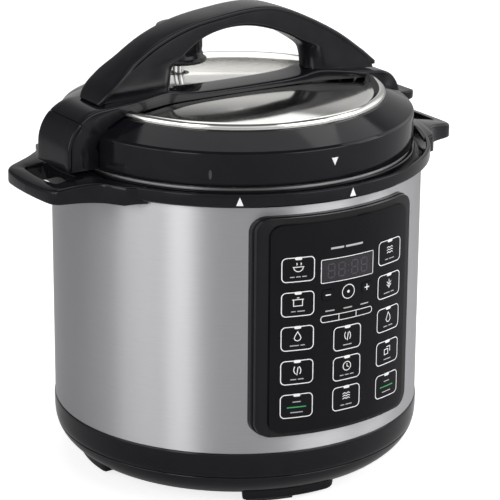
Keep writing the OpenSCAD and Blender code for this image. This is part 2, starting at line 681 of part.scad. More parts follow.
outer_sleeve();
base_bowl();
bottom_cover();
rubber_feet();
base_screws();
collar_ring();
outer_pot();
heating_plate();
heating_element();
temperature_sensor();
sensor_spring();
pressure_leaf();
pressure_switch();
thermal_fuse();
power_board();
panel_bezel();
face_plate();
display_window();
control_board();
tact_switches();
display_module();
mains_inlet();
inlet_pins();
cup_bracket();
condensation_cup();
inner_pot();
sealing_ring();
key_left_1();
key_left_2();
key_left_3();
key_left_4();
key_left_5();
key_mid_1();
key_mid_2();
key_mid_3();
key_right_1();
key_right_2();
key_right_3();
key_right_4();
key_right_5();
key_minus();
key_select();
key_plus();
lid_shell();
lid_disc();
lid_arm();
nose_cap();
grip_lower();
grip_upper();
pressure_lid();
ring_rack();
exhaust_pipe();
anti_block_shield();
lid_screws();
arm_screws();
grip_screws();
valve_knob();
float_valve();
float_seal();
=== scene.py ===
import json
import math
import bmesh
import bpy
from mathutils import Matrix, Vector


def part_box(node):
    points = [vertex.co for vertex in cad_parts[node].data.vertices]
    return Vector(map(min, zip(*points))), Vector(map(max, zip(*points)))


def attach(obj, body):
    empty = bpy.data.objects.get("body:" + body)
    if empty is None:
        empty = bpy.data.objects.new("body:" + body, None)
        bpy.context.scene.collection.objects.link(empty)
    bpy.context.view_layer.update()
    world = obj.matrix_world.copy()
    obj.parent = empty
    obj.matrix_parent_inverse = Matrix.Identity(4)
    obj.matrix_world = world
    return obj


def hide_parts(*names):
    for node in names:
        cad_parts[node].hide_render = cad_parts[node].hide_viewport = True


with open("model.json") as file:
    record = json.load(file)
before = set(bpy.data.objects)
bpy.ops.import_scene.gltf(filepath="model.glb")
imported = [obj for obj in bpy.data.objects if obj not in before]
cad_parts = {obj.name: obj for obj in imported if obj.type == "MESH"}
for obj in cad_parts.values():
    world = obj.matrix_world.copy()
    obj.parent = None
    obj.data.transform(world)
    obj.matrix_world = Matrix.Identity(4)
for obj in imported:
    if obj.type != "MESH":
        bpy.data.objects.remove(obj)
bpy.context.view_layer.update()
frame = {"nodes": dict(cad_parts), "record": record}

scene = bpy.context.scene
N = frame["nodes"]
MM = 0.001
pi = math.pi


# ---------------------------------------------------------------- materials
def mat(name, c1, c2, r1, r2, metal=0.0, scale=(30, 30, 30), detail=4.0, bump=0.1,
        bscale=(400, 400, 400), bdist=0.00005, coat=0.0, ior=1.5, trans=0.0, aniso=0.0,
        edge=None, spec=0.5, alpha=1.0, arot=0.0):
    m = bpy.data.materials.new(name)
    m.use_nodes = True
    t = m.node_tree
    n, l = t.nodes, t.links
    b = n["Principled BSDF"]
    b.inputs["Metallic"].default_value = metal
    b.inputs["IOR"].default_value = ior
    b.inputs["Coat Weight"].default_value = coat
    b.inputs["Coat Roughness"].default_value = 0.04
    b.inputs["Transmission Weight"].default_value = trans
    b.inputs["Specular IOR Level"].default_value = spec
    b.inputs["Anisotropic"].default_value = aniso
    b.inputs["Anisotropic Rotation"].default_value = arot
    b.inputs["Alpha"].default_value = alpha
    tc = n.new("ShaderNodeTexCoord")
    mp = n.new("ShaderNodeMapping")
    mp.inputs["Scale"].default_value = scale
    l.new(tc.outputs["Object"], mp.inputs["Vector"])
    no = n.new("ShaderNodeTexNoise")
    no.inputs["Scale"].default_value = 1.0
    no.inputs["Detail"].default_value = detail
    l.new(mp.outputs["Vector"], no.inputs["Vector"])
    rr = n.new("ShaderNodeMapRange")
    rr.inputs["From Min"].default_value = 0.3
    rr.inputs["From Max"].default_value = 0.7
    rr.inputs["To Min"].default_value = r1
    rr.inputs["To Max"].default_value = r2
    l.new(no.outputs["Fac"], rr.inputs["Value"])
    l.new(rr.outputs["Result"], b.inputs["Roughness"])
    ramp = n.new("ShaderNodeValToRGB")
    ramp.color_ramp.elements[0].position = 0.3
    ramp.color_ramp.elements[0].color = (*c1, 1)
    ramp.color_ramp.elements[1].position = 0.7
    ramp.color_ramp.elements[1].color = (*c2, 1)
    l.new(no.outputs["Fac"], ramp.inputs["Fac"])
    colour = ramp.outputs["Color"]
    if edge:
        geo = n.new("ShaderNodeNewGeometry")
        er = n.new("ShaderNodeMapRange")
        er.inputs["From Min"].default_value = 0.53
        er.inputs["From Max"].default_value = 0.62
        l.new(geo.outputs["Pointiness"], er.inputs["Value"])
        mx = n.new("ShaderNodeMix")
        mx.data_type = "RGBA"
        l.new(er.outputs["Result"], mx.inputs[0])
        l.new(colour, mx.inputs[6])
        mx.inputs[7].default_value = (*edge, 1)
        colour = mx.outputs[2]
    l.new(colour, b.inputs["Base Color"])
    mp2 = n.new("ShaderNodeMapping")
    mp2.inputs["Scale"].default_value = bscale
    l.new(tc.outputs["Object"], mp2.inputs["Vector"])
    nb = n.new("ShaderNodeTexNoise")
    nb.inputs["Scale"].default_value = 1.0
    nb.inputs["Detail"].default_value = 3.0
    l.new(mp2.outputs["Vector"], nb.inputs["Vector"])
    bp = n.new("ShaderNodeBump")
    bp.inputs["Strength"].default_value = bump
    bp.inputs["Distance"].default_value = bdist
    l.new(nb.outputs["Fac"], bp.inputs["Height"])
    l.new(bp.outputs["Normal"], b.inputs["Normal"])
    if aniso:
        tg = n.new("ShaderNodeTangent")
        tg.direction_type = "RADIAL"
        tg.axis = "Z"
        l.new(tg.outputs["Tangent"], b.inputs["Tangent"])
    return m


g = lambda v: (v, v, v)
MATS = {
    "sleeve_steel": mat("sleeve_steel", (0.50, 0.50, 0.515), (0.545, 0.545, 0.555), 0.38, 0.45, metal=1.0,
                        scale=(60, 60, 3200), detail=5, bump=0.03, bscale=(90, 90, 7000), aniso=0.92, arot=0.25),
    "black_gloss": mat("black_gloss", (0.0058, 0.0058, 0.0075), (0.008, 0.008, 0.0105), 0.07, 0.12, scale=(60, 60, 60), bump=0.04,
                       bscale=(500, 500, 500), edge=g(0.015), spec=0.2),
    "black_satin": mat("black_satin", (0.0065, 0.0065, 0.0082), (0.009, 0.009, 0.0115), 0.18, 0.26, scale=(80, 80, 80), bump=0.08,
                       bscale=(900, 900, 900), edge=g(0.018), spec=0.22),
    "black_matt": mat("black_matt", g(0.018), g(0.028), 0.5, 0.62, bump=0.3, bscale=(1500, 1500, 1500),
                      edge=g(0.05)),
    "panel_black": mat("panel_black", (0.0045, 0.0045, 0.006), (0.006, 0.006, 0.008), 0.08, 0.13, scale=(40, 40, 40), bump=0.02,
                       bscale=(300, 300, 300), spec=0.14),
    "display_glass": mat("display_glass", (0.012, 0.010, 0.014), (0.017, 0.014, 0.019), 0.05, 0.09, bump=0.02),
    "foot_rubber": mat("foot_rubber", g(0.012), g(0.02), 0.6, 0.8, bump=0.4, bscale=(1200, 1200, 1200)),
    "screw_steel": mat("screw_steel", g(0.5), g(0.6), 0.22, 0.36, metal=1.0, bump=0.1, edge=g(0.75)),
    "liner_steel": mat("liner_steel", g(0.46), g(0.56), 0.26, 0.38, metal=1.0, scale=(9, 9, 1500), bump=0.15,
                       bscale=(14, 14, 3000), aniso=0.4),
    "pot_steel": mat("pot_steel", g(0.56), g(0.68), 0.2, 0.32, metal=1.0, scale=(9, 9, 1800), bump=0.15,
                     bscale=(14, 14, 3600), aniso=0.4),
    "polished_steel": mat("polished_steel", (0.74, 0.73, 0.70), (0.79, 0.78, 0.75), 0.09, 0.14, metal=1.0,
                          scale=(20, 20, 20), bump=0.012, bscale=(70, 70, 70)),
    "heater_aluminium": mat("heater_aluminium", g(0.5), g(0.6), 0.35, 0.5, metal=1.0, bump=0.3, edge=g(0.7)),
    "element_steel": mat("element_steel", (0.2, 0.18, 0.17), (0.3, 0.28, 0.27), 0.4, 0.6, metal=1.0, bump=0.3),
    "board_green": mat("board_green", (0.02, 0.08, 0.03), (0.03, 0.11, 0.045), 0.35, 0.5, bump=0.2),
    "white_plastic": mat("white_plastic", (0.62, 0.61, 0.57), (0.7, 0.69, 0.65), 0.4, 0.5, bump=0.15),
    "clear_plastic": mat("clear_plastic", (0.86, 0.90, 0.93), (0.92, 0.95, 0.97), 0.06, 0.14, bump=0.05,
                         trans=0.9, ior=1.46),
    "silicone": mat("silicone", (0.68, 0.68, 0.65), (0.76, 0.76, 0.73), 0.4, 0.52, bump=0.15),
    "float_red": mat("float_red", (0.45, 0.02, 0.015), (0.55, 0.03, 0.02), 0.3, 0.4, bump=0.1),
    "print_white": mat("print_white", g(0.80), g(0.90), 0.4, 0.5, bump=0.1, bscale=(2500, 2500, 2500)),
    "print_grey": mat("print_grey", g(0.42), g(0.52), 0.4, 0.5, bump=0.1, bscale=(2500, 2500, 2500)),
    "print_dim": mat("print_dim", (0.040, 0.034, 0.042), (0.052, 0.045, 0.055), 0.2, 0.3, bump=0.1),
    "print_green": mat("print_green", (0.03, 0.34, 0.10), (0.04, 0.42, 0.14), 0.4, 0.5, bump=0.1),
}
# the polished disc is pressed into a shallow dome, given by its normals
pm = MATS["polished_steel"].node_tree
ptc = [n for n in pm.nodes if n.bl_idname == "ShaderNodeTexCoord"][0]
pfine = [n for n in pm.nodes if n.bl_idname == "ShaderNodeBump"][0]
flat = pm.nodes.new("ShaderNodeVectorMath")
flat.operation = "MULTIPLY"
flat.inputs[1].default_value = (1, 1, 0)
pm.links.new(ptc.outputs["Object"], flat.inputs[0])
dot = pm.nodes.new("ShaderNodeVectorMath")
dot.operation = "DOT_PRODUCT"
pm.links.new(flat.outputs[0], dot.inputs[0])
pm.links.new(flat.outputs[0], dot.inputs[1])
neg = pm.nodes.new("ShaderNodeMath")
neg.operation = "MULTIPLY"
neg.inputs[1].default_value = -1.0
pm.links.new(dot.outputs["Value"], neg.inputs[0])
dome = pm.nodes.new("ShaderNodeBump")
dome.inputs["Strength"].default_value = 1.0
dome.inputs["Distance"].default_value = 1.15
pm.links.new(neg.outputs[0], dome.inputs["Height"])
pm.links.new(dome.outputs["Normal"], pfine.inputs["Normal"])
SLOT = {s["node"]: s["material_slot"] for s in frame["record"]["subparts"]}
for name, o in N.items():
    o.data.materials.clear()
    o.data.materials.append(MATS[SLOT[name]])
    for p in o.data.polygons:
        p.use_smooth = True
        p.material_index = 0
    o.data.set_sharp_from_angle(angle=math.radians(28))


# ---------------------------------------------------------------- mesh tools
def make(name, verts, faces, body, mats, slot=None, rep=(), angle=32, midx=None, flip=False, merge=1e-7):
    me = bpy.data.meshes.new(name)
    me.from_pydata([(x * MM, y * MM, z * MM) for x, y, z in verts], [], faces)
    for s in ([mats] if isinstance(mats, str) else mats):
        me.materials.append(MATS[s])
    if midx:
        for p, k in zip(me.polygons, midx):
            p.material_index = k
    bm = bmesh.new()
    bm.from_mesh(me)
    bmesh.ops.remove_doubles(bm, verts=bm.verts, dist=merge)
    bmesh.ops.recalc_face_normals(bm, faces=bm.faces)
    bm.to_mesh(me)
    bm.free()
    for p in me.polygons:
        p.use_smooth = True
    me.set_sharp_from_angle(angle=math.radians(angle))
    ob = bpy.data.objects.new(name, me)
    scene.collection.objects.link(ob)
    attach(ob, body)
    if rep:
        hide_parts(*rep)
    if slot is None:
        slot = mats if isinstance(mats, str) else mats[0]
    return ob


def fillet(pts, seg=5, closed=True):
    out = []
    n = len(pts)
    for i in range(n):
        p = pts[i]
        r = p[2] if len(p) > 2 else 0
        P = Vector(p[:2])
        if r <= 0 or (not closed and i in (0, n - 1)):
            out.append((P.x, P.y))
            continue
        A, B = Vector(pts[i - 1][:2]), Vector(pts[(i + 1) % n][:2])
        u, v = (A - P), (B - P)
        la, lb = u.length, v.length
        u.normalize()
        v.normalize()
        th = math.acos(max(-1, min(1, u.dot(v))))
        if th > pi - 0.04:
            out.append((P.x, P.y))
            continue
        d = min(r / math.tan(th / 2), 0.49 * la, 0.49 * lb)
        r2 = d * math.tan(th / 2)
        c = P + (u + v).normalized() * (r2 / math.sin(th / 2))
        s, e = P + u * d, P + v * d
        a0 = math.atan2(s.y - c.y, s.x - c.x)
        da = (math.atan2(e.y - c.y, e.x - c.x) - a0 + pi) % (2 * pi) - pi
        for k in range(seg + 1):
            a = a0 + da * k / seg
            out.append((c.x + r2 * math.cos(a), c.y + r2 * math.sin(a)))
    return out


def lathe(prof, n=288, cx=0, cy=0):
    m = len(prof)
    verts = [(cx + r * math.cos(2 * pi * i / n), cy + r * math.sin(2 * pi * i / n), z)
             for i in range(n) for r, z in prof]
    faces = []
    for i in range(n):
        j = (i + 1) % n
        for k in range(m):
            q = (k + 1) % m
            if prof[k][0] < 1e-6 and prof[q][0] < 1e-6:
                continue
            faces.append((i * m + k, j * m + k, j * m + q, i * m + q))
    return verts, faces


def lathe_obj(name, prof, body, m, n=288, cx=0, cy=0, seg=5, **kw):
    v, f = lathe(fillet(prof, seg), n, cx, cy)
    return make(name, v, f, body, m, **kw)


def lerp(a, b, t):
    return a + (b - a) * t


def resample(pts, n):
    """n points evenly spaced along a polyline of 2-D points."""
    d = [0]
    for a, b in zip(pts, pts[1:]):
        d.append(d[-1] + math.dist(a[:2], b[:2]))
    out = []
    k = 0
    for i in range(n):
        s = d[-1] * i / (n - 1)
        while k < len(pts) - 2 and d[k + 1] < s:
            k += 1
        t = 0 if d[k + 1] == d[k] else (s - d[k]) / (d[k + 1] - d[k])
        out.append(tuple(lerp(x, y, t) for x, y in zip(pts[k], pts[k + 1])))
    return out


def smooth(pts, rounds=2):
    """Corner cutting of an open line of points of any dimension."""
    for _ in range(rounds):
        q = [pts[0]]
        for a, b in zip(pts, pts[1:]):
            q.append(tuple(lerp(x, y, 0.25) for x, y in zip(a, b)))
            q.append(tuple(lerp(x, y, 0.75) for x, y in zip(a, b)))
        q.append(pts[-1])
        pts = q
    return pts


def ribbon(name, st, body, m, seg=6, top=6, **kw):
    """st: stations (ox, oz, ix, iz, half width, outer corner radius, inner corner radius, crown)."""
    loops = []
    for ox, oz, ix, iz, W, a, b, cr in st:
        O, I = Vector((ox, oz)), Vector((ix, iz))
        t = (O - I).length
        n = (O - I) / t
        a = min(a, W * 0.98, t * 0.48)
        b = min(b, W * 0.98, t - a - 0.02)
        sec = []
        for k in range(seg + 1):
            q = -pi / 2 + (pi / 2) * k / seg
            sec.append((W - b + b * math.cos(q), b + b * math.sin(q)))
        for k in range(seg + 1):
            q = (pi / 2) * k / seg
            sec.append((W - a + a * math.cos(q), t - a + a * math.sin(q)))
        for k in range(1, top):
            y = (W - a) * (1 - 2 * k / top)
            sec.append((y, t))
        for k in range(seg + 1):
            q = pi / 2 + (pi / 2) * k / seg
            sec.append((-W + a + a * math.cos(q), t - a + a * math.sin(q)))
        for k in range(seg + 1):
            q = pi + (pi / 2) * k / seg
            sec.append((-W + b + b * math.cos(q), b + b * math.sin(q)))
        loops.append([(I.x + n.x * (h + cr * (h / t) * (1 - (y / W) ** 2)), y,
                       I.y + n.y * (h + cr * (h / t) * (1 - (y / W) ** 2))) for y, h in sec])
    c = len(loops[0])
    verts = [p for lp in loops for p in lp]
    faces = []
    for i in range(len(loops) - 1):
        for k in range(c):
            q = (k + 1) % c
            faces.append((i * c + k, (i + 1) * c + k, (i + 1) * c + q, i * c + q))
    faces.append(tuple(range(c)))
    faces.append(tuple((len(loops) - 1) * c + k for k in range(c)))
    return make(name, verts, faces, body, m, **kw)


def emboss(quads, r0, r1, verts, faces, midx, k):
    """Adds a thin closed print made of (x, z) polygons on the front of the cylinders r0 and r1."""
    def at(p, r):
        x = p[0]
        return (x, -math.sqrt(r * r - x * x), p[1])
    key = {}
    base = len(verts)
    pts = []

    def vid(p):
        q = (round(p[0], 4), round(p[1], 4))
        if q not in key:
            key[q] = len(pts)
            pts.append(p)
        return key[q]
    polys = [[vid(p) for p in poly] for poly in quads]
    polys = [[v for i, v in enumerate(poly) if v != poly[i - 1]] for poly in polys]
    polys = [p for p in polys if len(p) > 2]
    n = len(pts)
    verts += [at(p, r1) for p in pts] + [at(p, r0) for p in pts]
    edges = {}
    for poly in polys:
        faces.append([base + v for v in poly])
        faces.append([base + n + v for v in reversed(poly)])
        midx += [k, k]
        for i in range(len(poly)):
            a, b = poly[i - 1], poly[i]
            edges[(a, b)] = 1
    for a, b in edges:
        if (b, a) not in edges:
            faces.append([base + b, base + a, base + n + a, base + n + b])
            midx.append(k)


def stroke(pts, w, closed=False, step=1.4):
    """Polygons of a line w wide through 2-D points."""
    P = [Vector(p) for p in pts]
    if closed:
        P.append(P[0].copy())
    fine = [P[0]]
    for a, b in zip(P, P[1:]):
        k = max(1, int(math.ceil((b - a).length / step)))
        fine += [a.lerp(b, i / k) for i in range(1, k + 1)]
    if closed:
        fine = fine[:-1]
    n = len(fine)
    L, R = [], []
    for i, p in enumerate(fine):
        a = fine[i - 1] if (closed or i) else p
        b = fine[(i + 1) % n] if (closed or i < n - 1) else p
        u = (p - a).normalized() if (p - a).length > 1e-9 else (b - p).normalized()
        v = (b - p).normalized() if (b - p).length > 1e-9 else u
        t = (u + v)
        t = t.normalized() if t.length > 1e-6 else u
        nn = Vector((-t.y, t.x))
        s = w / 2 / max(0.5, abs(nn.dot(Vector((-u.y, u.x)))))
        L.append(tuple(p + nn * s))
        R.append(tuple(p - nn * s))
    out = []
    for i in range(n if closed else n - 1):
        j = (i + 1) % n
        out.append([R[i], R[j], L[j], L[i]])
    return out


def arc(cx, cz, r, a0, a1, n=12, rz=None):
    rz = rz or r
    return [(cx + r * math.cos(math.radians(lerp(a0, a1, i / n))),
             cz + rz * math.sin(math.radians(lerp(a0, a1, i / n)))) for i in range(n + 1)]


def rr(cx, cz, w, h, r, n=5):
    out = []
    for sx, sz, a in ((1, 1, 0), (-1, 1, 90), (-1, -1, 180), (1, -1, 270)):
        out += arc(cx + sx * (w / 2 - r), cz + sz * (h / 2 - r), r, a, a + 90, n)
    return out


def bar(cx, cz, w, h):
    k = max(1, int(w / 1.4))
    return [[(cx - w / 2 + w * i / k, cz - h / 2), (cx - w / 2 + w * (i + 1) / k, cz - h / 2),
             (cx - w / 2 + w * (i + 1) / k, cz + h / 2), (cx - w / 2 + w * i / k, cz + h / 2)] for i in range(k)]


def disc(cx, cz, r, n=20):
    return [[(cx + r * math.cos(2 * pi * i / n), cz + r * math.sin(2 * pi * i / n)) for i in range(n)]]


# ---------------------------------------------------------------- body
b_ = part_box("outer_sleeve")
SR = round(b_[1].x / MM, 3)
z0, z1 = b_[0].z / MM, b_[1].z / MM
v, f = lathe([(SR - 0.8, z0), (SR - 0.3, z0), (SR, z0 + 0.3), (SR, 64), (SR, 192), (SR, z1), (SR - 0.8, z1), (SR - 0.8, 192), (SR - 0.8, 64)], 360)
keep = []
for fc in f:        # window behind the panel, for the keys
    c = [sum(v[i][k] for i in fc) / 4 for k in range(3)]
    if not (c[1] < 0 and abs(c[0]) < 51 and 64 < c[2] < 192):
        keep.append(fc)
make("body_sleeve", v, keep, "base", "sleeve_steel", rep=("outer_sleeve",), angle=40)

# base bowl: rounded black pan with a parting groove and a rolled foot
def bowl_r(z):
    return 130.6 - 20 * max(0, (40 - z) / 32) ** 3


bowl = [(bowl_r(11.6) - 0.5, 11.25), (bowl_r(11.8), 11.7)] + [(bowl_r(z), z) for z in [12.4, 13.4, 14.8, 16.4, 18.2, 20.2, 22.4, 24.4, 26.2]]
bowl += [(bowl_r(26.5) - 0.25, 26.6), (bowl_r(26.6) - 1.1, 26.75), (bowl_r(27) - 1.1, 27.15), (bowl_r(27.3) - 0.25, 27.35)]
bowl += [(bowl_r(z), z) for z in [27.7, 30, 32.5, 35, 38, 41, 43.6]]
bowl += [(130.45, 44.5), (130.1, 44.97), (128.4, 44.98), (128, 41)]
bowl += [(bowl_r(z - 1.5) - 2.6, z) for z in [38, 32, 26, 20, 16, 13.6]]
bowl += [(103, 13.5), (103, 11.3), (103.3, 11.02), (105.6, 11.05)]
v, f = lathe(bowl, 360)
m_ = len(bowl)
keep = []
for fc in f:
    c = [sum(v[i][k] for i in fc) / 4 for k in range(3)]
    if c[1] > 100 and abs(c[0]) < 22.5 and 13.9 < c[2] < 41.6 and math.hypot(c[0], c[1]) > 108:
        continue
    keep.append(fc)
make("base_pan", v, keep, "base", "black_gloss", rep=("base_bowl",), angle=40)


# bosses that carry the rubber pads, under the rim of the pan
for k, a0 in enumerate((-12.5, 77.5, 167.5, 257.5)):
    v, f = [], []
    sec = fillet([(90, 17, 0), (90, 3.4, 1.2), (113.6, 3.4, 2.2), (114.6, 17, 0)], 5)
    angs = [(-17.4, 2.2), (-17.3, 0.9), (-16.9, 0.3), (-16.2, 0)] + [(t, 0) for t in range(-15, 15, 2)] + [(14.6, 0), (15.8, 0.4), (16.7, 1.3), (17.2, 3.0)]
    for t, lift in angs:
        q = math.radians(a0 - 90 + t)
        for r, z in sec:
            zz = z + lift * (17 - z) / 13.6
            rr_ = 100.5 + (r - 100.5) * (1 - lift * 0.03)
            v.append((rr_ * math.cos(q), rr_ * math.sin(q), zz))
    n = len(sec)
    for i in range(len(angs) - 1):
        for j in range(n):
            q = (j + 1) % n
            f.append((i * n + j, (i + 1) * n + j, (i + 1) * n + q, i * n + q))
    f.append(tuple(range(n)))
    f.append(tuple((len(angs) - 1) * n + j for j in range(n)))
    make(f"foot_boss_{k + 1}", v, f, "base", "black_gloss", angle=40)


def frame_ring(outer, inner, y_f, y_b, lip):
    """Loft between two (x, z) outlines of equal length, as a plate with rounded edges, facing +Y."""
    n = len(outer)
    rings = [(outer, y_b, 0), (outer, y_f - lip, 0), (outer, y_f - lip * 0.3, lip * 0.3), (outer, y_f, lip),
             (inner, y_f, -lip), (inner, y_f - lip * 0.3, -lip * 0.3), (inner, y_f - lip, 0), (inner, y_b, 0)]
    verts = []
    for loop, y, off in rings:
        cx = sum(p[0] for p in loop) / n
        cz = sum(p[1] for p in loop) / n
        for x, z in loop:
            d = math.hypot(x - cx, z - cz)
            verts.append((x - (x - cx) / d * off, y, z - (z - cz) / d * off))
    faces = []
    for k in range(len(rings)):
        q = (k + 1) % len(rings)
        for i in range(n):
            j = (i + 1) % n
            faces.append((k * n + i, k * n + j, q * n + j, q * n + i))
    return verts, faces


v, f = frame_ring(rr(0, 28, 50, 31, 4, 8), rr(0, 28, 31.2, 24.2, 2, 8), 131.1, 112.5, 0.6)
make("inlet_surround", v, f, "base", "black_gloss", angle=40)

# collar ring with its rounded crown
CR = 136.0
lathe_obj("collar_band", [(129.6, 220.35), (134.6, 220.33, 0.5), (CR, 221.6, 0.9), (CR, 229.6, 0.9), (133.6, 229.62, 0.5),
                          (132.9, 228.4, 0.3), (129.6, 226), (126.6, 222.8), (126.6, 221)], "base", "black_gloss", n=360,
          rep=("collar_ring",), angle=40)
lathe_obj("collar_lip", [(126.6, 217), (129.1, 217), (130.4, 222.8), (129.4, 224.6, 0.6), (125.3, 223.4, 0.4), (125.2, 228.2, 0.4),
                         (124.6, 229, 0.3), (117, 229), (117, 226.6), (122.6, 226.6), (122.6, 219.6)],
          "base", "black_gloss", n=288, angle=40)


# loop handles: sections between the slot outline and the outer outline
def pol(r, a):
    return (r * math.cos(math.radians(a)), r * math.sin(math.radians(a)))


half = smooth([pol(167.5, 0), pol(167.5, 4), pol(167.5, 8), pol(167.3, 10.6), pol(165.4, 12.0), pol(161.5, 13.0), pol(155, 14.3), pol(149, 16),
               pol(144, 18.4), pol(140, 21.6), pol(137, 25), pol(135.4, 29.4), pol(132, 31.5)], 2)
outer_loop = half + [(128.0, 62), (127.0, 40), (126.5, 20), (126.3, 0)]
outer_loop = outer_loop + [(x, -y) for x, y in reversed(outer_loop[1:-1])]
slot_loop = fillet([(*pol(142, t), 0) for t in (-5, -2.5, 0, 2.5, 5)] + [(*pol(142, 8.6), 2.6), (*pol(158, 8.6), 3.2)] +
                   [(*pol(158, t), 0) for t in (5.5, 2.8, 0, -2.8, -5.5)] + [(*pol(158, -8.6), 3.2), (*pol(142, -8.6), 2.6)], 6)


def cast(loop, cx, cy, ang):
    d = Vector((math.cos(ang), math.sin(ang)))
    best = None
    n = len(loop)
    for i in range(n):
        a, b = Vector(loop[i - 1]) - Vector((cx, cy)), Vector(loop[i]) - Vector((cx, cy))
        e = b - a
        den = d.x * e.y - d.y * e.x
        if abs(den) < 1e-12:
            continue
        t = (a.x * e.y - a.y * e.x) / den
        s = (a.x * d.y - a.y * d.x) / den
        if t > 0 and -1e-9 <= s <= 1 + 1e-9 and (best is None or t > best):
            best = t
    return (cx + d.x * best, cy + d.y * best)


def ztop(x):
    P = [(120, 229.55), (134, 229.58), (138, 229.5), (143, 229.0), (150, 228.0), (158, 226.6), (163, 225.5), (166, 224.6), (168, 223.8)]
    for a, b in zip(P, P[1:]):
        if x <= b[0]:
            return lerp(a[1], b[1], max(0, (x - a[0])) / (b[0] - a[0]))
    return P[-1][1]


def zbot(x):
    P = [(120, 217.7), (133, 216.2), (150, 215.8), (164, 215.5), (168, 216.0)]
    for a, b in zip(P, P[1:]):
        if x <= b[0]:
            return lerp(a[1], b[1], max(0, (x - a[0])) / (b[0] - a[0]))
    return P[-1][1]


NA = 240
for side in (1, -1):
    verts, faces = [], []
    for i in range(NA):
        a = 2 * pi * i / NA
        S, O = Vector(cast(slot_loop, 150, 0, a)), Vector(cast(outer_loop, 150, 0, a))
        w = (O - S).length
        u = (O - S) / w
        re, rs, rb = 2.2, 1.0, 1.4
        sec = []
        for k in range(6):      # slot top corner
            q = pi - (pi / 2) * k / 5
            sec.append((rs + rs * math.cos(q), "t", -rs + rs * math.sin(q)))
        for k in range(7):      # outer top corner
            q = pi / 2 - (pi / 2) * k / 6
            sec.append((w - re + re * math.cos(q), "t", -re + re * math.sin(q)))
        for k in range(5):      # outer bottom corner
            q = -(pi / 2) * k / 4
            sec.append((w - rb + rb * math.cos(q), "b", rb + rb * math.sin(q)))
        for k in range(5):      # slot bottom corner
            q = -pi / 2 - (pi / 2) * k / 4
            sec.append((rs + rs * math.cos(q), "b", rs + rs * math.sin(q)))
        for d, w_, h in sec:
            p = S + u * d
            z = (ztop(p.x) if w_ == "t" else zbot(p.x)) + h
            verts.append((side * p.x, p.y, z))
    c = len(verts) // NA
    for i in range(NA):
        j = (i + 1) % NA
        for k in range(c):
            q = (k + 1) % c
            faces.append((i * c + k, j * c + k, j * c + q, i * c + q))
    make("loop_handle_" + ("right" if side > 0 else "left"), verts, faces, "base", "black_gloss", angle=45)

# ---------------------------------------------------------------- lid
lathe_obj("lid_shell_skin", [(121.9, 231.2, 0.3), (123.7, 231.2, 0.6), (123.8, 232.6, 0.5), (123.8, 253.2, 1.6), (122.6, 254.9, 1.0), (105.4, 263.6, 0.6),
                             (104.2, 263.98), (90, 263.98), (90, 262), (103.6, 262), (121.9, 252.4)],
          "lid", "black_gloss", n=360, rep=("lid_shell",), angle=40, seg=6)
disc_prof = [(0, 264.05), (103.2, 264.03), (103.85, 264.3), (104.0, 265.0), (104.0, 265.6)]
disc_prof += [(100.6 + 3.4 * math.cos(q), 265.6 + 3.0 * math.sin(q)) for q in [math.radians(6 * i) for i in range(1, 18)]]
disc_prof += [(99.4, 268.3), (98.2, 267.5), (97.0, 266.2), (96.2, 265.5), (95.2, 265.1)]
disc_prof += [(r, 264.9 + 1.45 * (1 - (r / 96) ** 2)) for r in range(92, 2, -4)] + [(0, 266.35)]
v, f = lathe(disc_prof, 360)
disc_ob = make("lid_disc_skin", v, f, "lid", "polished_steel", rep=("lid_disc",), angle=50)
# holes for the steam pipe and the float
for hx, hy, hr in ((-10, 62, 5.3), (-50, 42, 3.7)):
    hv, hf = lathe([(0, 262), (hr, 262), (hr, 270), (0, 270)], 48, hx, hy)
    hm = bpy.data.meshes.new("hole_tool")
    hm.from_pydata([(x * MM, y * MM, z * MM) for x, y, z in hv], [], hf)
    hb = bmesh.new()
    hb.from_mesh(hm)
    bmesh.ops.remove_doubles(hb, verts=hb.verts, dist=1e-7)
    bmesh.ops.recalc_face_normals(hb, faces=hb.faces)
    hb.to_mesh(hm)
    hb.free()
    tool = bpy.data.objects.new("hole_tool", hm)
    scene.collection.objects.link(tool)
    md = disc_ob.modifiers.new("hole", "BOOLEAN")
    md.operation = "DIFFERENCE"
    md.solver = "EXACT"
    md.object = tool
    bpy.context.view_layer.update()
    cut = bpy.data.meshes.new_from_object(disc_ob.evaluated_get(bpy.context.evaluated_depsgraph_get()))
    disc_ob.modifiers.clear()
    disc_ob.data = cut
    bpy.data.objects.remove(tool)
# screw boss collars seen through the valve and float holes
lathe_obj("valve_hole_ring", [(5.2, 264.9), (8.6, 264.9), (8.6, 265.3, 0.2), (7.6, 265.9, 0.3), (5.2, 265.9, 0.2)], "lid", "black_satin",
          n=72, cx=-10, cy=62)
lathe_obj("float_hole_ring", [(3.5, 264.9), (5.6, 264.9), (5.6, 265.3, 0.2), (5.1, 265.6, 0.2), (3.5, 265.6, 0.2)], "lid", "screw_steel",
          n=64, cx=-50, cy=42)


def sm(t):
    u = max(0, min(1, t))
    return u * u * (3 - 2 * u)


def arm_w(x):
    return 12.5 + 9 * sm((abs(x) - 52) / 46)


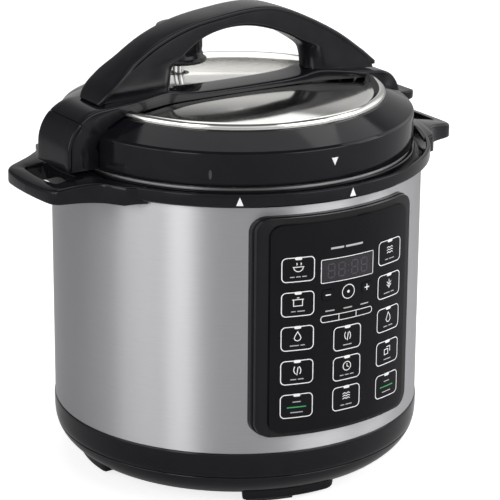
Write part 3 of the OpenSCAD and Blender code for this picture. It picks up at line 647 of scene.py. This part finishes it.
# arm: path from the lower left of the nose over the top to the tab at the right
st = []
for z in (232.05, 233.2, 236, 239.5, 242.4):
    st.append((-143.45, z, -122.6, z, 2.0, 0.6))
for t in range(180, 132, -5):
    a = math.radians(t)
    st.append((-118 + 25.45 * math.cos(a), 244 + 25.45 * math.sin(a), -118 + 5 * math.cos(a) - 1, 246 + 6 * math.sin(a), 2.0, 0.6))
a = math.radians(131.6)
st.append((-118 + 25.45 * math.cos(a), 244 + 25.45 * math.sin(a), -118 + 5 * math.cos(a) - 1, 246 + 6 * math.sin(a), 0.5, 0.5))
for t in (131.2, 129.5, 126, 121, 115, 109, 102, 95):
    a = math.radians(t)
    st.append((-118 + 28 * math.cos(a), 244 + 28 * math.sin(a), -118 + 5 * math.cos(a) - 1, 246 + 6 * math.sin(a), 1.6, 0.5))
top = [(-118, 272), (-104, 273), (-84, 274.4), (-66, 275), (-58, 274.6), (-50, 272.4), (-38, 271.2), (-20, 270.85), (0, 270.8), (20, 270.9),
       (38, 271.2), (50, 272.4), (58, 274.4), (66, 274.6), (84, 272.6), (100, 270.4), (106, 269.6)]
top = resample(smooth(top, 2), 70)


def arm_bottom(x):
    if abs(x) < 95:
        return 266.4
    if abs(x) < 105:
        return lerp(266.2, 264.2, (abs(x) - 95) / 10)
    return 264.2 - (abs(x) - 105) * 0.52


for x, z in top[1:]:
    st.append((x, z, x, arm_bottom(x), 1.5, 0.5))
for t in range(85, 6, -6):
    a = math.radians(t)
    x, z = 106 + 22 * math.cos(a), 247.6 + 22 * math.sin(a)
    st.append((x, z, 106 + 3 * math.cos(a) + 4, 246 + 3 * math.sin(a), 1.5, 0.5))
st += [(129.2, 250.3, 124.2, 244.6, 1.2, 0.5), (132, 249.98, 130, 243.62, 1.0, 0.5), (137, 249.98, 136.4, 243.62, 1.0, 0.5),
       (141.4, 249.9, 141.0, 243.7, 1.0, 0.5), (142.2, 249.2, 142.0, 244.4, 1.0, 0.5), (142.45, 248.2, 142.4, 245.4, 1.0, 0.5)]
full = []
for ox, oz, ix, iz, ro, ri in st:
    xw = max(min(ox, 150), -150)
    w = 21.5 if xw < -100 else arm_w(xw)
    if ox > 106:
        w = lerp(21.5, 18.6, sm((ox - 112) / 16))
    if ox > 137:
        w -= (ox - 137) ** 2 * 0.12
    full.append((ox, oz, ix, iz, w, ro, ri, 0.35 if -100 < ox < 104 else 0.0))
ribbon("arm_skin", full, "lid", "black_gloss", seg=5, top=10, rep=("lid_arm",), angle=38)

# nose cap over the left end, parted from the arm by a fine groove
st = []
for z in (232.02, 232.5, 236, 240, 243.9):
    st.append((-146, z, -143.7, z))
for t in range(175, 131, -4):
    a = math.radians(t)
    st.append((-118 + 28 * math.cos(a), 244 + 28 * math.sin(a), -118 + 25.55 * math.cos(a), 244 + 25.55 * math.sin(a)))
a = math.radians(132.3)
st.append((-118 + 28 * math.cos(a), 244 + 28 * math.sin(a), -118 + 25.55 * math.cos(a), 244 + 25.55 * math.sin(a)))
full = [(a, b, c, d, 21.5 - (0.3 if i in (0, len(st) - 1) else 0), 1.9, 0.3, 0.0) for i, (a, b, c, d) in enumerate(st)]
ribbon("nose_cap_skin", full, "lid", "black_gloss", seg=6, top=8, rep=("nose_cap",), angle=40)
v = []
for i in range(24):
    a = 2 * pi * i / 24
    v += [(-145.9, 1.1 * math.cos(a), 238 + 1.1 * math.sin(a)), (-145.97, 1.0 * math.cos(a), 238 + 1.0 * math.sin(a))]
f = [(2 * i, 2 * ((i + 1) % 24), 2 * ((i + 1) % 24) + 1, 2 * i + 1) for i in range(24)] + [tuple(range(0, 48, 2)), tuple(range(1, 48, 2))]
make("nose_dot", v, f, "lid", "print_grey", angle=30)

# grip: crown skin
crown = [(-118.2, 273.4), (-115.2, 277.6), (-110.2, 283.2), (-101, 290.9), (-91.5, 298), (-82, 304.3), (-72.5, 309.8), (-63, 314),
         (-53, 317.5), (-43, 320.3), (-32, 322.3), (-20, 323.8), (-8, 325.2), (3, 325.9), (13, 325.8), (24, 324.3), (36, 320.5), (50, 314.5),
         (65, 306.9), (80, 298.2), (95, 287.1), (104, 279.8), (110, 275)]
crown = resample(smooth(crown, 2), 84)
GW = 13.5
st = []
for i, (x, z) in enumerate(crown):
    A, B = Vector(crown[max(0, i - 1)]), Vector(crown[min(len(crown) - 1, i + 1)])
    d = (B - A).normalized()
    t = i / (len(crown) - 1)
    w = GW
    w = GW + 3.2 * sm((-88 - x) / 16)
    if x < -110:
        w -= 6.5 * (1 - math.sqrt(max(0, 1 - ((-110 - x) / 9.0) ** 2)))
    if x > 100:
        w = GW - 1.2 * sm((x - 100) / 10)
    th = 3.1
    st.append((x, z - (0.25 if 5 < i < 78 else 0), x + d.y * th, z - d.x * th, w, 3.4, 0.35, 0.5))
# round the two ends over
x, z = crown[0]
st = [(x + 1.0, z - 1.1, x + 4.4, z - 1.0, st[0][4] - 0.8, 1.2, 0.3, 0)] + st
x, z = crown[-1]
st = st + [(x + 0.7, z - 2.6, x - 2.6, z - 2.6, GW - 2.0, 1.2, 0.3, 0)]
ribbon("grip_crown", st, "lid", "black_satin", seg=6, top=10, rep=("grip_upper",), angle=40)

# grip: legs and arch under the skin
outr = [(x + 2.1, z - 3.3) for x, z in resample(crown, 60)]
inn = [(-56.6, 274.9), (-56.5, 280), (-55.6, 287), (-53.8, 292.6), (-48.6, 299.2), (-41, 305), (-32, 309.6), (-20, 312.5), (-8, 313.3),
       (4, 312.5), (16, 309.8), (30, 305.0), (43, 298.6), (51.6, 291.4), (54.2, 284.2), (54.9, 279), (55.1, 274.6)]
inn = smooth(inn, 2)
NS = 90
po = []
o_path = resample([(-112.4, 272.8), (-112.6, 276.0)] + outr[3:-3] + [(107.2, 272.4), (107.4, 270.6)], NS)
i_path = resample(inn, NS)
st = []
for k in range(NS):
    # both paths are matched by index, each resampled evenly along its length
    s = k / (NS - 1)
    ox, oz = o_path[k]
    si = 0.5 + (s - 0.5)
    ix, iz = i_path[k]
    leg = sm((299 - iz) / 9)
    w = GW - 0.5
    if ox < -104:
        w = w - 6.0 * (1 - math.sqrt(max(0, 1 - ((-104 - ox) / 11.4) ** 2))) * 0.8
    st.append((ox, oz, ix, iz, w, 0.5, lerp(3.4, 12.6, leg), 0.0))
ribbon("grip_arch", st, "lid", "black_satin", seg=9, top=2, rep=("grip_lower",), angle=40)

# valve knob with a flared skirt and a finger tab
vx, vy = -10.0, 62.0
lathe_obj("valve_body", [(0, 290.2), (4.2, 290.2), (4.2, 278.8), (10.8, 278.8, 0.3), (11, 275.3, 0.3), (20.2, 275.1, 0.4), (20.5, 276.5, 0.6),
                         (18.2, 278.2, 1.6), (17.05, 282.4, 2.5), (16.9, 298.6, 1.2), (15.6, 301.2, 1.2), (14.2, 301.9, 0.6), (0, 301.9)],
          "valve", "black_satin", n=144, cx=vx, cy=vy, rep=("valve_knob",), angle=40)
v, f = [], []
sec = rr(0, 0, 8, 17, 1.6, 4)
lay = [(-13.0, 1.0), (-18.4, 1.0), (-19.2, 0.96), (-19.5, 0.88)]
for y, k in lay:
    v += [(vx + x * k, vy + y, 289.6 + z * k) for x, z in sec]
n = len(sec)
for k in range(len(lay) - 1):
    for i in range(n):
        j = (i + 1) % n
        f.append((k * n + i, k * n + j, (k + 1) * n + j, (k + 1) * n + i))
f.append(tuple(range(n)))
f.append(tuple((len(lay) - 1) * n + i for i in range(n)))
make("valve_tab", v, f, "valve", "black_satin", angle=40)
# ribs round the valve body
v, f = [], []
for i in range(36):
    a = 2 * pi * i / 36
    c, s = math.cos(a), math.sin(a)
    b0 = len(v)
    for z in (284.6, 297.4):
        for r, h in ((16.6, -0.55), (17.25, -0.25), (17.25, 0.25), (16.6, 0.55)):
            v.append((vx + r * c - h * s, vy + r * s + h * c, z))
    f += [(b0, b0 + 1, b0 + 5, b0 + 4), (b0 + 1, b0 + 2, b0 + 6, b0 + 5), (b0 + 2, b0 + 3, b0 + 7, b0 + 6),
          (b0, b0 + 3, b0 + 2, b0 + 1), (b0 + 4, b0 + 5, b0 + 6, b0 + 7), (b0 + 3, b0, b0 + 4, b0 + 7)]
make("valve_ribs", v, f, "valve", "black_satin", angle=30)

# ---------------------------------------------------------------- printed panel
KW, KH = 22.6, 17.4
rows = [177.9 - 24.05 * i for i in range(5)]
mid = [125, 103.4, 81.8]
RK = 139.35


def icon(kind, cx, cz):
    w = 0.55
    S = lambda p, c=False: stroke([(cx + x, cz + z) for x, z in p], w, c, 1.0)
    A = lambda x, z, r, a0, a1, n=12, rz=None: stroke(arc(cx + x, cz + z, r, a0, a1, n, rz), w)
    out = []
    if kind == 0:      # bowl with steam
        out += A(0, 0.6, 3.2, 180, 360) + S([(-3.8, 0.6), (3.8, 0.6)])
        for x in (-1.4, 1.4):
            out += S([(x, 1.9), (x + 0.5, 2.7), (x, 3.5)])
    if kind == 1:      # pot
        out += S([(-3, 2), (-3, -2.4), (3, -2.4), (3, 2)]) + S([(-3.9, 2.0), (3.9, 2.0)]) + S([(-0.8, 3.2), (0.8, 3.2)])
    if kind == 2:      # drop
        out += stroke([(cx + x, cz + z) for x, z in [(0, 3.5), (1.5, 1), (2.3, -0.8), (1.6, -2.4), (0, -3), (-1.6, -2.4), (-2.3, -0.8), (-1.5, 1)]], w, True, 1.0)
    if kind == 3:      # leaf
        out += A(-1.6, -0.2, 4.1, -35, 48) + A(1.8, 0.6, 4.1, 145, 228) + S([(-0.2, -3.2), (0.6, 2.4)])
    if kind == 4:      # clock
        out += stroke(arc(cx, cz, 3.1, 0, 345, 22), w, True, 1.0) + S([(0, 1.9), (0, 0), (1.4, -0.9)])
    if kind == 5:      # waves
        for z in (1.6, -0.2, -2.0):
            out += S([(-3, z), (-1.5, z + 0.8), (0, z), (1.5, z + 0.8), (3, z)])
    if kind == 6:      # sheaf
        out += S([(0, -3.2), (0, 3.2)]) + S([(-2.2, 1.6), (0, -0.6), (2.2, 1.6)]) + S([(-2.2, -0.4), (0, -2.4), (2.2, -0.4)])
    if kind == 7:      # flame
        out += stroke([(cx + x, cz + z) for x, z in [(0, 3.6), (1.9, 0.6), (2.2, -1.6), (0.8, -3.2), (-0.9, -3.2), (-2.2, -1.4), (-1.2, 0.8)]], w, True, 1.0)
    if kind == 8:      # pair of cubes
        out += stroke([(cx + x, cz + z) for x, z in [(-3, -2.6), (0.6, -2.6), (0.6, 1), (-3, 1)]], w, True, 1.0)
        out += S([(-1, 2.6), (2.6, 2.6), (2.6, -1)])
    if kind == 9:      # cup
        out += S([(-2.6, 2.6), (-2.0, -2.8), (1.6, -2.8), (2.2, 2.6)]) + S([(-2.6, 2.6), (2.2, 2.6)]) + A(2.2, 0.4, 1.5, -80, 80)
    return out


def label(cx, cz, parts):
    """Generic legend: short bars in place of words."""
    out = []
    tot = sum(parts) + 1.1 * (len(parts) - 1)
    x = cx - tot / 2
    for p in parts:
        out += bar(x + p / 2, cz, p, 0.62)
        x += p + 1.1
    return out


LAB = [[3, 5], [6, 3], [4, 4], [7], [3, 3, 3]]
for col, cx, zs in (("left", -37.0, rows), ("mid", 0.0, mid), ("right", 37.0, rows)):
    for i, cz in enumerate(zs):
        v, f, mi = [], [], []
        emboss(stroke(rr(cx, cz, KW - 0.8, KH - 0.8, 3.0, 5), 0.62, True, 1.2), RK - 0.05, RK + 0.03, v, f, mi, 0)
        kind = (i + {"left": 0, "mid": 3, "right": 5}[col]) % 10
        if col != "mid" and i == 4:
            emboss(bar(cx, cz - 0.9, 13.0, 0.75), RK - 0.05, RK + 0.03, v, f, mi, 2)
            emboss(label(cx, cz + 2.9, [5.5]), RK - 0.05, RK + 0.03, v, f, mi, 1)
            emboss(label(cx, cz - 4.6, [8.5]), RK - 0.05, RK + 0.03, v, f, mi, 1)
        else:
            emboss(icon(kind, cx, cz + 1.2), RK - 0.05, RK + 0.03, v, f, mi, 0)
            emboss(label(cx, cz - 5.0, LAB[(i + len(col)) % 5]), RK - 0.05, RK + 0.03, v, f, mi, 1)
        emboss([rr(cx, cz + KH / 2 - 1.0, 4.8, 2.1, 1.0, 4)], RK - 0.05, RK + 0.05, v, f, mi, 0)
        make(f"print_{col}_{i + 1}", v, f, f"key_{col}_{i + 1}", ["print_white", "print_grey", "print_green"], angle=20, midx=mi)
v, f, mi = [], [], []
emboss(bar(-15.7, 157.6, 4.0, 0.75), RK - 0.05, RK + 0.03, v, f, mi, 0)
make("print_minus", v, f, "key_minus", "print_white", angle=20)
v, f, mi = [], [], []
emboss(bar(15.7, 157.6, 4.0, 0.75), RK - 0.05, RK + 0.03, v, f, mi, 0)
emboss(bar(15.7, 158.85, 0.7, 1.75) + bar(15.7, 156.35, 0.7, 1.75), RK - 0.05, RK + 0.03, v, f, mi, 0)
make("print_plus", v, f, "key_plus", "print_white", angle=20)
v, f, mi = [], [], []
emboss(stroke(arc(0, 157.6, 4.85, 0, 352, 44), 0.55, True, 1.0), RK - 0.05, RK + 0.03, v, f, mi, 0)
emboss(disc(0, 157.6, 1.0), RK - 0.05, RK + 0.03, v, f, mi, 0)
make("print_select", v, f, "key_select", "print_white", angle=20)

# marks printed on the face plate
v, f, mi = [], [], []
RP = 139.0
P0, P1 = RP - 0.03, RP + 0.03
for x in (-14, 0, 14):
    emboss(bar(x, 146.2, 6.8, 0.8), P0, P1, v, f, mi, 1)
emboss(stroke(rr(0, 140.7, 41.5, 4.5, 2.0, 5), 0.5, True, 1.3), P0, P1, v, f, mi, 0)
for x in (-7, 7):
    emboss(bar(x, 140.7, 0.5, 3.9), P0, P1, v, f, mi, 0)
emboss(stroke(rr(0, 174.2, 41.8, 16.2, 0.8, 3), 0.5, True, 1.3), P0, P1, v, f, mi, 0)
# rule in the place of a name
emboss(bar(-9, 189.6, 10.0, 1.3) + bar(4.5, 189.6, 14.0, 1.3), P0, P1, v, f, mi, 1)
make("panel_print", v, f, "base", ["print_white", "print_grey"], angle=20, midx=mi)

# unlit digits behind the window
v, f, mi = [], [], []
RW = 138.75


def seg_h(cx, cz, L, t):
    return [[(cx - L / 2 + t / 2, cz - t / 2), (cx + L / 2 - t / 2, cz - t / 2), (cx + L / 2, cz), (cx + L / 2 - t / 2, cz + t / 2),
             (cx - L / 2 + t / 2, cz + t / 2), (cx - L / 2, cz)]]


def seg_v(cx, cz, L, t):
    return [[(cx - t / 2, cz - L / 2 + t / 2), (cx, cz - L / 2), (cx + t / 2, cz - L / 2 + t / 2), (cx + t / 2, cz + L / 2 - t / 2),
             (cx, cz + L / 2), (cx - t / 2, cz + L / 2 - t / 2)]]


for k, cx in enumerate((-13.2, -5.2, 5.2, 13.2)):
    w, h, t = 4.9, 4.7, 0.95
    for cz in (174 - h, 174, 174 + h):
        emboss(seg_h(cx, cz, w - 0.5, t), RW + 0.01, RW + 0.05, v, f, mi, 0)
    for sx in (-1, 1):
        for cz in (174 - h / 2, 174 + h / 2):
            emboss(seg_v(cx + sx * w / 2, cz, h - 0.5, t), RW + 0.01, RW + 0.05, v, f, mi, 0)
for cz in (172, 176):
    emboss(disc(0, cz, 0.55, 12), RW + 0.01, RW + 0.05, v, f, mi, 0)
make("display_digits", v, f, "base", "print_dim", angle=20)


# ---------------------------------------------------------------- marks on lid and collar
def tri_on(phi, z, w, h, r, down, name, body, material="print_white"):
    """Small triangle on a cylinder of radius r at angle phi from the panel."""
    a0 = math.radians(-90 + phi)
    pts = [(-w / 2, h / 2), (w / 2, h / 2), (0, -h / 2)] if down else [(-w / 2, -h / 2), (w / 2, -h / 2), (0, h / 2)]
    v, f = [], []
    for rr_ in (r - 0.05, r + 0.05):
        for x, zz in pts:
            a = a0 + x / r
            v.append((rr_ * math.cos(a), rr_ * math.sin(a), z + zz))
    f = [(0, 1, 2), (3, 4, 5), (0, 1, 4, 3), (1, 2, 5, 4), (2, 0, 3, 5)]
    make(name, v, f, body, material, angle=20)


tri_on(-0.9, 244, 5.0, 5.4, 123.79, True, "mark_lid", "lid")
tri_on(-31.6, 225.2, 4.8, 5.8, 136.0, False, "mark_open", "base")
tri_on(1.9, 225.2, 4.8, 5.8, 136.0, False, "mark_close", "base")

v, f = [], []
for r in (123.76, 123.83):
    for i in range(20):
        q = 2 * pi * i / 20
        a = math.radians(-90 - 40.5) + 1.0 * math.cos(q) / r
        v.append((r * math.cos(a), r * math.sin(a), 239.4 + 3.2 * math.sin(q)))
f = [tuple(range(20)), tuple(range(20, 40))] + [(i, (i + 1) % 20, 20 + (i + 1) % 20, 20 + i) for i in range(20)]
make("lid_witness_mark", v, f, "lid", "black_matt", angle=20)

# ---------------------------------------------------------------- stage, lights, camera
me = bpy.data.meshes.new("floor")
me.from_pydata([(-6, -6, 0), (6, -6, 0), (6, 6, 0), (-6, 6, 0)], [], [(0, 1, 2, 3)])
floor = bpy.data.objects.new("floor", me)
scene.collection.objects.link(floor)
fm = bpy.data.materials.new("floor_white")
fm.use_nodes = True
fb = fm.node_tree.nodes["Principled BSDF"]
fb.inputs["Base Color"].default_value = (0.66, 0.66, 0.66, 1)
fb.inputs["Emission Color"].default_value = (1, 1, 1, 1)
flp = fm.node_tree.nodes.new("ShaderNodeLightPath")
fmr = fm.node_tree.nodes.new("ShaderNodeMapRange")
fmr.inputs["To Min"].default_value = 0.04
fmr.inputs["To Max"].default_value = 0.76
fm.node_tree.links.new(flp.outputs["Is Camera Ray"], fmr.inputs["Value"])
fm.node_tree.links.new(fmr.outputs["Result"], fb.inputs["Emission Strength"])
fb.inputs["Roughness"].default_value = 0.85
fb.inputs["Specular IOR Level"].default_value = 0.1
me.materials.append(fm)


def area(name, loc, target, size, power, size_y=None):
    d = bpy.data.lights.new(name, "AREA")
    d.energy = power
    d.shape = "RECTANGLE" if size_y else "SQUARE"
    d.size = size
    if size_y:
        d.size_y = size_y
    o = bpy.data.objects.new(name, d)
    scene.collection.objects.link(o)
    o.location = loc
    o.rotation_mode = "QUATERNION"
    o.rotation_quaternion = (Vector(target) - Vector(loc)).to_track_quat("-Z", "Y")
    return o


area("key_top", (0.2, 0.3, 1.9), (0, 0, 0.1), 1.5, 9)
area("fill_right", (1.6, -0.9, 0.9), (0, 0, 0.15), 0.8, 7, 1.4)
area("fill_left", (-1.36, -0.64, 0.62), (0, 0, 0.15), 0.42, 4.0, 1.2)
area("side_left", (-1.5, 0.06, 0.62), (0, 0, 0.15), 0.75, 2.9, 1.2)
area("front", (0.55, -1.50, 0.70), (0, 0, 0.15), 1.1, 9, 1.2)
area("back_top", (0.72, 0.40, 1.22), (0, 0, 0.26), 1.1, 2.5, 0.6)

# studio surroundings: bright with soft darker bands, plain white behind
w = bpy.data.worlds.new("studio")
scene.world = w
w.use_nodes = True
nt = w.node_tree
nt.nodes.clear()
out = nt.nodes.new("ShaderNodeOutputWorld")
bg1 = nt.nodes.new("ShaderNodeBackground")
bg2 = nt.nodes.new("ShaderNodeBackground")
mixs = nt.nodes.new("ShaderNodeMixShader")
lp = nt.nodes.new("ShaderNodeLightPath")
tc = nt.nodes.new("ShaderNodeTexCoord")
sep = nt.nodes.new("ShaderNodeSeparateXYZ")
nt.links.new(tc.outputs["Generated"], sep.inputs[0])
at2 = nt.nodes.new("ShaderNodeMath")
at2.operation = "ARCTAN2"
nt.links.new(sep.outputs[1], at2.inputs[0])
nt.links.new(sep.outputs[0], at2.inputs[1])
mr = nt.nodes.new("ShaderNodeMapRange")
mr.inputs["From Min"].default_value = -pi
mr.inputs["From Max"].default_value = pi
nt.links.new(at2.outputs[0], mr.inputs["Value"])
cr = nt.nodes.new("ShaderNodeValToRGB")
cr.color_ramp.interpolation = "EASE"
nt.links.new(mr.outputs["Result"], cr.inputs["Fac"])
AZ_STOPS = [(-180, 1.75), (-160, 2.0), (-146, 1.95), (-141, 0.95), (-118, 0.9), (-95, 1.1), (-60, 1.7), (-25, 1.7), (10, 1.4), (36, 0.5), (62, 0.75), (84, 0.5), (104, 0.16), (130, 0.35), (150, 0.9), (168, 1.45), (180, 1.75)]
els = cr.color_ramp.elements
while len(els) > 2:
    els.remove(els[-1])
els[0].position, els[0].color = 0.0, (AZ_STOPS[0][1],) * 3 + (1,)
els[1].position, els[1].color = 1.0, (AZ_STOPS[-1][1],) * 3 + (1,)
for a, c in AZ_STOPS[1:-1]:
    e = els.new((a + 180) / 360)
    e.color = (c, c, c, 1)
# overhead is a broad soft light
up = nt.nodes.new("ShaderNodeMapRange")
up.interpolation_type = "SMOOTHSTEP"
up.inputs["From Min"].default_value = 0.36
up.inputs["From Max"].default_value = 0.62
up.inputs["To Min"].default_value = 0.0
up.inputs["To Max"].default_value = 1.0
nt.links.new(sep.outputs[2], up.inputs["Value"])
mx = nt.nodes.new("ShaderNodeMix")
mx.data_type = "RGBA"
nt.links.new(up.outputs["Result"], mx.inputs[0])
nt.links.new(cr.outputs["Color"], mx.inputs[6])
mx.inputs[7].default_value = (0.16, 0.16, 0.17, 1)
nt.links.new(mx.outputs[2], bg1.inputs["Color"])
bg1.inputs["Strength"].default_value = 0.9
bg2.inputs["Color"].default_value = (1, 1, 1, 1)
bg2.inputs["Strength"].default_value = 1.0
nt.links.new(lp.outputs["Is Camera Ray"], mixs.inputs[0])
nt.links.new(bg1.outputs[0], mixs.inputs[1])
nt.links.new(bg2.outputs[0], mixs.inputs[2])
nt.links.new(mixs.outputs[0], out.inputs[0])
scene.view_settings.view_transform = "Standard"

cam = bpy.data.cameras.new("camera")
co = bpy.data.objects.new("camera", cam)
scene.collection.objects.link(co)
cam.sensor_width = 36
cam.lens = 172.9
cam.clip_start, cam.clip_end = 0.1, 30
AZ, EL, DIST = math.radians(33.0), math.radians(18.2477), 1.7127
T = Vector((0.010142 * math.cos(AZ), -0.010142 * math.sin(AZ), 0.147465))
C = T + Vector((-math.sin(AZ) * math.cos(EL), -math.cos(AZ) * math.cos(EL), math.sin(EL))) * DIST
fwd = (T - C).normalized()
right = fwd.cross(Vector((0, 0, 1))).normalized()
upv = right.cross(fwd)
ro = math.radians(0.43)
r2 = right * math.cos(ro) + upv * math.sin(ro)
u2 = upv * math.cos(ro) - right * math.sin(ro)
from mathutils import Matrix
M = Matrix((r2, u2, -fwd)).transposed().to_4x4()
M.translation = C
co.matrix_world = M
scene.camera = co
